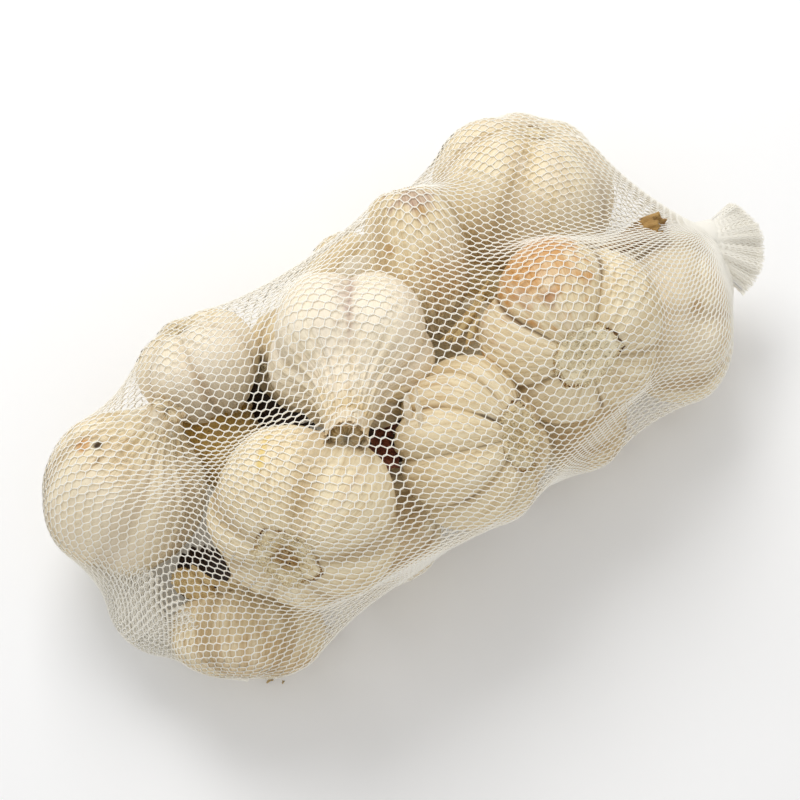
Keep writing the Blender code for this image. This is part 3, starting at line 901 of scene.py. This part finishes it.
def lattice_step(nodes):
    """One pull of every node towards its three neighbours, the stem three times as strong as a thread."""
    starts = nodes[:, :, 0]
    ends = nodes[:, :, 1]
    odd = (np.arange(len(nodes)) % 2 == 1)[:, None, None]
    above = np.roll(starts, -1, axis=0)
    above_other = np.where(odd, np.roll(above, -1, axis=1), np.roll(above, 1, axis=1))
    below = np.roll(ends, 1, axis=0)
    below_other = np.where(odd, np.roll(below, -1, axis=1), np.roll(below, 1, axis=1))
    new_ends = (3.0 * starts + above + above_other) / 5.0
    new_starts = (3.0 * ends + below + below_other) / 5.0
    pulled = nodes + 0.6 * (np.stack([new_starts, new_ends], axis=2) - nodes)
    pulled[0] = nodes[0]
    pulled[-1] = nodes[-1]
    pulled[1:-1] = push_out(pulled[1:-1], CLEARANCE)
    return pulled


def strand_paths(nodes):
    """Zigzag strands, two at every stem, as points along the net."""
    middle = nodes.mean(axis=(1, 2), keepdims=True)
    outward = nodes.mean(axis=2, keepdims=True) - middle
    ahead = nodes[:, :, 1:] - nodes[:, :, :1]
    sideways = np.cross(outward, ahead)
    sideways = sideways / np.maximum(np.linalg.norm(sideways, axis=-1, keepdims=True), 1e-6)
    column = np.arange(nodes.shape[1])
    paths = []
    for side in (0, 1):
        path = []
        for row in range(len(nodes)):
            use = (column + side * (row % 2 == 0)) % nodes.shape[1]
            lean = STEM_SPREAD if (side == 0) == (row % 2 == 0) else -STEM_SPREAD
            path.append(nodes[row, use] + lean * sideways[row, use])
        paths.append(np.concatenate(path, axis=1))
    return paths


def tubes(paths, radii, sides=4):
    """Joined tube mesh data round many paths of the same length, with a radius for each point."""
    ahead = np.zeros_like(paths)
    ahead[:, 1:-1] = paths[:, 2:] - paths[:, :-2]
    ahead[:, 0] = paths[:, 1] - paths[:, 0]
    ahead[:, -1] = paths[:, -1] - paths[:, -2]
    ahead = ahead / np.maximum(np.linalg.norm(ahead, axis=-1, keepdims=True), 1e-9)
    lead = np.where(np.abs(ahead[..., 2:3]) > 0.9, np.array([1.0, 0.0, 0.0]), np.array([0.0, 0.0, 1.0]))
    first = np.cross(ahead, lead)
    first = first / np.maximum(np.linalg.norm(first, axis=-1, keepdims=True), 1e-9)
    second = np.cross(ahead, first)
    turn = np.linspace(0.0, 2.0 * math.pi, sides, endpoint=False)[:, None]
    round_it = first[:, :, None] * np.cos(turn) + second[:, :, None] * np.sin(turn)
    points = paths[:, :, None] + round_it * radii[..., None, None]
    number, length = paths.shape[:2]
    offsets = (np.arange(number) * length * sides)[:, None, None]
    faces = (grid_faces(length, sides, True)[None] + offsets).reshape(-1, 4)
    return points.reshape(-1, 3), faces


def tail_axes():
    way = aimed(TAIL_HEADING, 0.0)
    wide = aimed(TAIL_WIDE_HEADING, TAIL_WIDE_LIFT)
    return way, wide, unit(np.cross(way, wide))


def tail_points(across, depth, share, trim, zig):
    """Places in the fan: across it and through it from -1 to 1, and along it from the tie."""
    way, wide, thin = tail_axes()
    lean = np.radians(np.interp(across, (-1.0, 1.0), TAIL_ANGLES))[..., None]
    length = ((TAIL_LENGTH - TAIL_SKEW * across) * trim * share)[..., None]
    neck = RIGHT_TIE_RADIUS * (1.0 - share)
    half_thick = neck + TAIL_HALF_THICK * share
    wave = TAIL_WAVE * share * np.sin(TAIL_PLEATS * across) + 0.5 * share * np.sin(23.0 * across + 1.0)
    place = np.array(RIGHT_TIE) + length * (np.cos(lean) * way + np.sin(lean) * wide)
    place = place + (neck * across + zig)[..., None] * wide
    return place + (half_thick * depth + wave)[..., None] * thin


def carried_on(path, random):
    """Carries each strand on from the tie through the fan to its own cut end."""
    way, wide, thin = tail_axes()
    offsets = path[:, -1] - np.array(RIGHT_TIE)
    turn = np.arctan2(offsets @ thin, offsets @ wide)
    trim = random.uniform(0.92, 1.05, len(path))
    more = []
    for step in range(1, TAIL_STEPS + 1):
        share = np.full(len(path), step / TAIL_STEPS)
        zig = np.full(len(path), 0.2 if step % 2 else -0.2)
        more.append(tail_points(np.cos(turn), np.sin(turn), share, trim, zig))
    return np.concatenate([path, np.stack(more, axis=1)], axis=1)


def thread_piece(name, paths, material, radius=THREAD_RADIUS):
    points, faces = tubes(paths, np.full(paths.shape[:2], radius))
    thing = new_mesh_object(name, points, faces)
    belongs(thing, material)


def build_net(material, felt):
    """The knitted net as real threads, in four pieces, with more layers and a soft core in the pouch."""
    nodes = lattice(draped_tube())
    random = np.random.default_rng(5)
    half = COLUMNS // 2
    for side, path in zip("ab", strand_paths(nodes)):
        whole = carried_on(path, random)
        thread_piece("net_threads_" + side + "_1", whole[:half], material)
        thread_piece("net_threads_" + side + "_2", whole[half:], material)
    rows = int(np.sum(nodes.mean(axis=(1, 2))[:, 0] < POUCH_END))
    middle = np.array(POUCH_PLACE)
    for number, factor in enumerate(POUCH_LAYERS):
        inner = middle + (nodes[:rows] - middle) * factor
        inner = np.roll(inner, 7 * (number + 1), axis=1)
        inner[..., 2] = np.maximum(inner[..., 2], CLEARANCE)
        for side, path in zip("ab", strand_paths(inner)):
            thread_piece("net_pouch_%d_%s" % (number, side), path, material)
    rows = int(np.sum(nodes.mean(axis=(1, 2))[:, 0] < POUCH_CORE_END))
    core = middle + (nodes[:rows, :, 0] - middle) * POUCH_CORE
    # The core takes the tail's material, with its painted glow.
    thing = new_mesh_object("net_pouch_core", core.reshape(-1, 3), grid_faces(rows, COLUMNS, True))
    add_vectors(thing, "grain", core / 40.0)
    belongs(thing, felt)
    build_crease(nodes, material)


def build_crease(nodes, material):
    """A fold in the net beyond the left bulbs, where threads lie bunched in a line."""
    random = np.random.default_rng(11)
    flat = nodes.reshape(-1, 3)
    outward = unit(np.array([-0.6, -0.3, 0.8]))
    path = []
    for point in smooth_path(CREASE, 40):
        distance = np.linalg.norm(flat - point, axis=1)
        close = flat[np.argsort(distance)[:6]]
        path.append(close[np.argmax(close @ outward)])
    path = np.array(path)
    for _ in range(8):
        path[1:-1] = 0.5 * path[1:-1] + 0.25 * (path[:-2] + path[2:])
    bundle = []
    for _ in range(16):
        drift = random.normal(0.0, 0.3, 3) + outward * 0.6
        wander = np.stack([np.interp(np.linspace(0, 1, 40), np.linspace(0, 1, 8), random.normal(0.0, 0.3, 8))
                           for _ in range(3)], axis=-1)
        bundle.append(path + drift + wander)
    thread_piece("net_crease", np.array(bundle), material, 0.17)


def build_tail(thread, felt):
    """The gathered fan: a cloudy pleated core with hundreds of threads over it and a cut fringe."""
    random = np.random.default_rng(21)
    across = np.sin(np.linspace(-0.5, 0.5, 220) * math.pi * 0.98)
    share = np.linspace(0.0, 1.0, 26)[:, None]
    trim = 0.93 + 0.025 * np.sin(31.0 * across) + random.uniform(-0.02, 0.02, len(across))
    for name, depth in (("tail_core_front", 0.45), ("tail_core_back", -0.45)):
        grid = np.broadcast_arrays(across, depth, share, trim, 0.0)
        points = tail_points(*grid)
        thing = new_mesh_object(name, points.reshape(-1, 3), grid_faces(26, 220, False))
        add_vectors(thing, "grain", np.stack([grid[0], grid[2], grid[1]], axis=-1))
        belongs(thing, felt)
    across = random.uniform(-1.0, 1.0, TAIL_THREADS)
    depth = random.uniform(-1.0, 1.0, TAIL_THREADS) * np.sqrt(1.0 - across**2)
    trim = random.uniform(0.90, 1.06, TAIL_THREADS)
    paths = []
    for step in range(TAIL_STEPS):
        share = np.full(TAIL_THREADS, step / (TAIL_STEPS - 1.0))
        zig = np.full(TAIL_THREADS, 0.16 if step % 2 else -0.16)
        paths.append(tail_points(across, depth, share, trim, zig))
    thread_piece("tail_threads", np.stack(paths, axis=1), thread, 0.11)


def ribbon(path, width, seed, count=36, cup=0.25, rough=0.0, columns=7):
    """Points, faces and grain of a strip of husk along a path, cupped and uneven."""
    random = np.random.default_rng(seed)
    line = smooth_path(path, count)
    ahead = np.gradient(line, axis=0)
    ahead = ahead / np.linalg.norm(ahead, axis=-1, keepdims=True)
    side = np.cross(ahead, (0.0, 0.0, 1.0))
    side = side / np.linalg.norm(side, axis=-1, keepdims=True)
    above = np.cross(side, ahead)
    share = np.linspace(0.0, 1.0, count)
    twist = np.interp(share, np.linspace(0.0, 1.0, 5), random.uniform(-0.7, 0.7, 5))[:, None]
    turned = side * np.cos(twist) + above * np.sin(twist)
    upward = above * np.cos(twist) - side * np.sin(twist)
    across = np.linspace(-1.0, 1.0, columns)
    taper = np.sin(math.pi * np.clip(share, 0.02, 0.98)) ** 0.35
    edge = width * 0.5 * taper[:, None] * (1.0 + 0.22 * random.normal(0.0, 1.0, (count, 1)) * np.abs(across) * rough)
    points = line[:, None] + turned[:, None] * (edge * across)[..., None]
    bow = cup * width * (1.0 - across**2)
    points = points + upward[:, None] * bow[None, :, None]
    points = points + upward[:, None] * (rough * 0.5 * waves(points, width * 0.7, seed))[..., None]
    grain = np.stack(np.broadcast_arrays(across[None, :] + seed, share[:, None] * 3.0, 0.0), axis=-1)
    return points.reshape(-1, 3), grid_faces(count, columns, False), grain.reshape(-1, 3)


def build_ribbons(name, rows, material, rough, cup, seed):
    pieces = []
    for number, (path, width) in enumerate(rows):
        columns = 7 if width < 4.0 else 21
        pieces.append(ribbon(path, width, seed + number, 48, cup, rough, columns))
    points, faces, grain = joined_meshes(pieces)
    thing = new_mesh_object(name, points, faces)
    add_vectors(thing, "grain", grain)
    belongs(thing, material)


def build_stalk(name, path, radii, flatness, material):
    """A dry cut stalk or neck along a path: ribbed, hollow at its end, and pressed flat by a share."""
    count = 26
    sides = 56
    line = smooth_path(path, count)
    radii = np.interp(np.linspace(0.0, 3.0, count), range(4), radii)
    line = np.concatenate([line, line[-1:], line[-3:-2]])
    radii = np.concatenate([radii, [radii[-1] * 0.72, radii[-1] * 0.6]])
    turn = np.linspace(0.0, 2.0 * math.pi, sides, endpoint=False)
    ahead = unit(np.array(path[-1]) - np.array(path[0]))
    side = unit(np.cross(ahead, (0.0, 0.0, 1.0)))
    above = np.cross(side, ahead) * flatness
    ribs = 1.0 + 0.07 * np.sin(9.0 * turn) + 0.05 * np.sin(17.0 * turn + 1.0)
    reach = radii[:, None] * ribs
    ends = np.zeros((len(line), sides))
    ends[-3:-1] = 0.7 * np.sin(5.0 * turn) + 0.5 * np.sin(11.0 * turn)
    points = line[:, None] + ends[..., None] * ahead
    points = points + (reach * np.cos(turn))[..., None] * side + (reach * np.sin(turn))[..., None] * above
    thing = new_mesh_object(name, points.reshape(-1, 3), grid_faces(len(line), sides, True))
    rows = np.linspace(0.0, 2.0, len(line))[:, None]
    add_vectors(thing, "grain", np.stack(np.broadcast_arrays(turn * 1.3, rows, 0.0), axis=-1))
    belongs(thing, material)


def build_crumbs(material):
    """Bits of dry root and skin caught on the net."""
    random = np.random.default_rng(3)
    pieces = []
    for number, place in enumerate(CRUMBS):
        for _ in range(4):
            start = np.array(place) + random.normal(0.0, 1.2, 3)
            start[2] = max(start[2], 0.6)
            end = start + random.normal(0.0, 1.2, 3)
            end[2] = max(end[2], 0.6)
            pieces.append(ribbon([start, 0.5 * (start + end) + 0.3, end], 0.9, number, 6, 0.4, 0.6, 5))
    points, faces, grain = joined_meshes(pieces)
    thing = new_mesh_object("crumbs", points, faces)
    add_vectors(thing, "grain", grain)
    belongs(thing, material)


def facing(way):
    """Euler angles that turn a camera or lamp to look against this direction."""
    return Vector(way).to_track_quat("Z", "Y").to_euler()


def add_area_light(name, place, aim, size, power):
    lamp = bpy.data.lights.new(name, "AREA")
    lamp.shape = "SQUARE"
    lamp.size = size * MM
    lamp.energy = power
    thing = bpy.data.objects.new(name, lamp)
    thing.location = np.asarray(place) * MM
    thing.rotation_euler = facing(np.asarray(place) - np.asarray(aim))
    bpy.context.scene.collection.objects.link(thing)


def build_floor(size):
    half = size / MM / 2.0
    corners = [(-half, -half, -0.3), (half, -half, -0.3), (half, half, -0.3), (-half, half, -0.3)]
    floor = new_mesh_object("floor", corners, [(0, 1, 2, 3)])
    material, tree, shader = new_material("white_floor")
    shader.inputs["Base Color"].default_value = rgba("#FCFCFC")
    shader.inputs["Roughness"].default_value = 0.9
    floor.data.materials.append(material)


def build_lights_and_camera(scene):
    world = bpy.data.worlds.new("studio")
    scene.world = world
    world.use_nodes = True
    back = world.node_tree.nodes["Background"]
    back.inputs["Color"].default_value = rgba("#FFFFFF")
    back.inputs["Strength"].default_value = SKY_STRENGTH
    aim = np.array(CAMERA_AIM)
    turn = math.radians(CAMERA_AZIMUTH)
    rise = math.radians(CAMERA_ELEVATION)
    way = np.array([math.sin(turn) * math.cos(rise), -math.cos(turn) * math.cos(rise), math.sin(rise)])
    right = np.array([math.cos(turn), math.sin(turn), 0.0])
    up = np.cross(way, right)
    add_area_light("key", aim + 620.0 * up + 480.0 * way - 160.0 * right, aim, 420.0, KEY_POWER)
    add_area_light("fill", aim - 500.0 * up + 500.0 * way + 300.0 * right, aim, 700.0, FILL_POWER)
    camera = bpy.data.cameras.new("camera")
    camera.lens = CAMERA_LENS
    camera.sensor_width = 36.0
    camera.clip_end = 20.0
    holder = bpy.data.objects.new("camera", camera)
    scene.collection.objects.link(holder)
    holder.location = (aim + way * CAMERA_DISTANCE) * MM
    holder.rotation_euler = facing(way)
    scene.camera = holder
    scene.view_settings.view_transform = "Standard"


class GarlicSettings(bpy.types.PropertyGroup):
    """Sizes of the stage"""

    floor_size: bpy.props.FloatProperty(
        name="Floor size",
        description="Side of the floor sheet",
        default=6.0,
        unit="LENGTH",
        subtype="DISTANCE",
    )


class GARLIC_OT_bulbs(bpy.types.Operator):
    """Build the garlic bulbs with their root plates and necks"""

    bl_idname = "garlic.bulbs"
    bl_label = "Garlic bulbs"

    def execute(self, context):
        skin = garlic_skin_material()
        roots = root_material()
        neck = husk_material("papery_neck", "#FAF0DA", "#D8B87E", 0.15)
        for bulb in BULB_LIST:
            build_bulb(bulb, skin)
            build_roots(bulb, roots)
            build_neck(bulb, neck)
        return {"FINISHED"}


class GARLIC_OT_husks(bpy.types.Operator):
    """Build the straws, loose skins, dark sheets of painted gap shade, cut stalk and crumbs under the net"""

    bl_idname = "garlic.husks"
    bl_label = "Loose husks"

    def execute(self, context):
        straw = husk_material("dry_straw", "#EFDBA9", "#BF9650", 0.2)
        build_ribbons("straws", STRAWS, straw, 0.2, 0.22, 31)
        red = husk_material("red_brown_skin", "#A86046", "#5E2E20", 0.1)
        build_ribbons("red_skins", RED_SKINS, red, 1.0, 0.18, 41)
        # Painted shade: near-black sheets for the dark gaps between bulbs.
        dark = husk_material("painted_gap_shade", "#3A2416", "#1C100A", 0.0)
        build_ribbons("gap_shade_sheets", GAP_SHADE_SHEETS, dark, 1.0, 0.10, 51)
        pale = husk_material("pale_loose_skin", "#FCF4E2", "#EADBBB", 0.35)
        build_ribbons("pale_skins", PALE_SKINS, pale, 0.2, 0.10, 61)
        stalk = husk_material("dry_stalk", "#C29A58", "#7A5428", 0.1)
        build_stalk("stalk", STALK, STALK_RADII, 1.0, stalk)
        bent = husk_material("flattened_neck", "#FCF3DE", "#E4CC9C", 0.1)
        build_stalk("neck_bent_over", BENT_NECK, BENT_NECK_RADII, BENT_NECK_FLATNESS, bent)
        build_crumbs(straw)
        return {"FINISHED"}


class GARLIC_OT_net(bpy.types.Operator):
    """Build the knitted net round the bulbs, with its gathered tail"""

    bl_idname = "garlic.net"
    bl_label = "Knitted net"

    def execute(self, context):
        thread = net_material()
        felt = tail_material()
        build_net(thread, felt)
        build_tail(thread, felt)
        return {"FINISHED"}


class GARLIC_OT_stage(bpy.types.Operator):
    """Build the floor, lights and camera"""

    bl_idname = "garlic.stage"
    bl_label = "Floor, lights and camera"

    def execute(self, context):
        build_floor(context.scene.garlic.floor_size)
        build_lights_and_camera(context.scene)
        return {"FINISHED"}


class GARLIC_PT_panel(bpy.types.Panel):
    """Lists the pieces of the net of garlic"""

    bl_idname = "GARLIC_PT_panel"
    bl_label = "Garlic net"
    bl_space_type = "VIEW_3D"
    bl_region_type = "UI"
    bl_category = "Garlic net"

    def draw(self, context):
        for name in ("garlic.stage", "garlic.bulbs", "garlic.husks", "garlic.net"):
            self.layout.operator(name)
        self.layout.prop(context.scene.garlic, "floor_size")


CLASSES = (GarlicSettings, GARLIC_OT_bulbs, GARLIC_OT_husks, GARLIC_OT_net, GARLIC_OT_stage, GARLIC_PT_panel)


def register():
    for item in CLASSES:
        bpy.utils.register_class(item)
    bpy.types.Scene.garlic = bpy.props.PointerProperty(type=GarlicSettings)


def unregister():
    del bpy.types.Scene.garlic
    for item in reversed(CLASSES):
        bpy.utils.unregister_class(item)


def main():
    register()
    bpy.ops.garlic.stage()
    bpy.ops.garlic.bulbs()
    bpy.ops.garlic.husks()
    bpy.ops.garlic.net()


if __name__ == "__main__":
    main()
